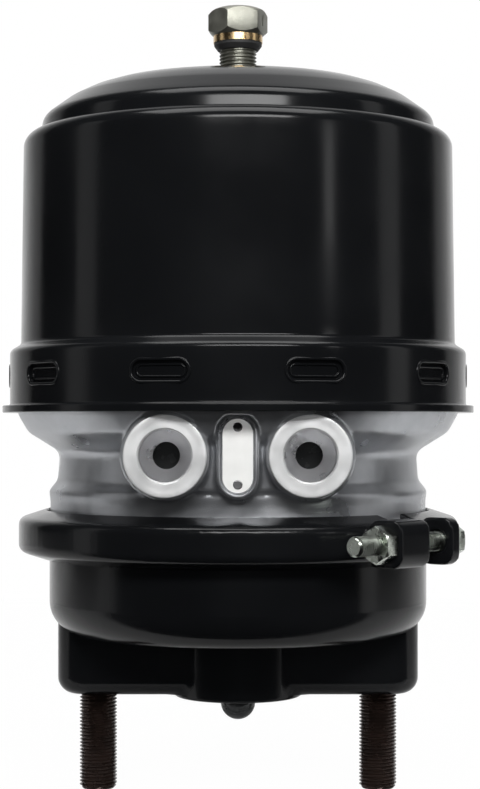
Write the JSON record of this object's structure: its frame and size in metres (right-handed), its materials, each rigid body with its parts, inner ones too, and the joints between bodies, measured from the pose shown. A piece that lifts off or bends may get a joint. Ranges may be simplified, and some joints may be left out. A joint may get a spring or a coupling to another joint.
{
  "type": "air brake chamber",
  "caption": "Spring brake chamber for a disc brake: steel spring and service housings, cast aluminium centre body with air ports, clamp ring, push rod and mounting studs.",
  "frame": {"origin": "on the chamber's axis in the face that bolts to the caliper, midway between the two studs", "axes": "+Z along the axis towards the release bolt, -Y the way the air ports face, +X to the right as seen from the ports"},
  "size_m": [0.202, 0.2037, 0.3362],
  "materials": {
    "black_paint": "gloss black enamel on pressed steel",
    "cast_aluminium": "as-cast, satin, with machined port faces",
    "plate_aluminium": "bare satin sheet",
    "zinc_steel": "zinc plated",
    "plain_steel": "plain machined",
    "dark_steel": "phosphated, oiled",
    "spring_steel": "shot-peened and coated",
    "brass": "turned",
    "rubber": "moulded, matt",
    "nylon": "moulded"
  },
  "bodies": {
    "chamber": {"spring_housing": "black_paint", "release_boss": "plain_steel", "centre_body": "cast_aluminium", "rim_seal": "rubber", "tube_bush": "nylon", "tube_seal": "rubber", "rating_plate": "plate_aluminium", "rating_plate_pins": "plate_aluminium", "diaphragm": "rubber", "power_spring": "spring_steel", "return_spring": "spring_steel", "service_housing": "black_paint", "mounting_studs": "dark_steel", "dust_boot": "rubber", "clamp_ring": "black_paint", "clamp_bolt": "zinc_steel", "clamp_nut": "zinc_steel"},
    "spring_piston_group": {"spring_piston": "cast_aluminium", "piston_guide_ring": "nylon", "piston_lip_seal": "rubber", "tube_foot": "nylon"},
    "push_plate_group": {"push_plate": "black_paint", "push_rod_retainer": "plain_steel"},
    "push_rod_group": {"push_rod": "dark_steel"},
    "release_slide_group": {"thrust_washer": "plain_steel"},
    "release_bolt_group": {"release_bolt": "zinc_steel", "release_washer": "brass", "release_seal": "rubber", "thrust_collar": "plain_steel", "thrust_collar_pin": "plain_steel"}
  },
  "joints": [
    {"name": "spring_piston_slide", "type": "slide", "parent": "chamber", "child": "spring_piston_group", "axis": [0, 0, -1], "range_m": [0, 0.057], "stiffness_N_per_m": 8000, "springref_m": -0.01, "deforming": ["power_spring"]},
    {"name": "push_rod_slide", "type": "slide", "parent": "chamber", "child": "push_plate_group", "axis": [0, 0, -1], "range_m": [0, 0.057], "deforming": ["return_spring", "diaphragm", "dust_boot"]},
    {"name": "push_rod_swivel", "type": "hinge", "parent": "push_plate_group", "child": "push_rod_group", "pos_m": [0, 0, 0.0876], "axis": [1, 0, 0], "range_deg": [-3, 3]},
    {"name": "release_bolt_slide", "type": "slide", "parent": "chamber", "child": "release_slide_group", "axis": [0, 0, 1], "range_m": [-0.015, 0]},
    {"name": "release_bolt_turn", "type": "hinge", "parent": "release_slide_group", "child": "release_bolt_group", "pos_m": [0, 0, 0.28], "axis": [0, 0, 1], "range_deg": [-3600, 0]}
  ],
  "couplings": [
    {"joint": "push_rod_slide", "follows": "spring_piston_slide", "ratio": 1},
    {"joint": "release_bolt_turn", "follows": "release_bolt_slide", "rad_per_m": 4188.8}
  ]
}
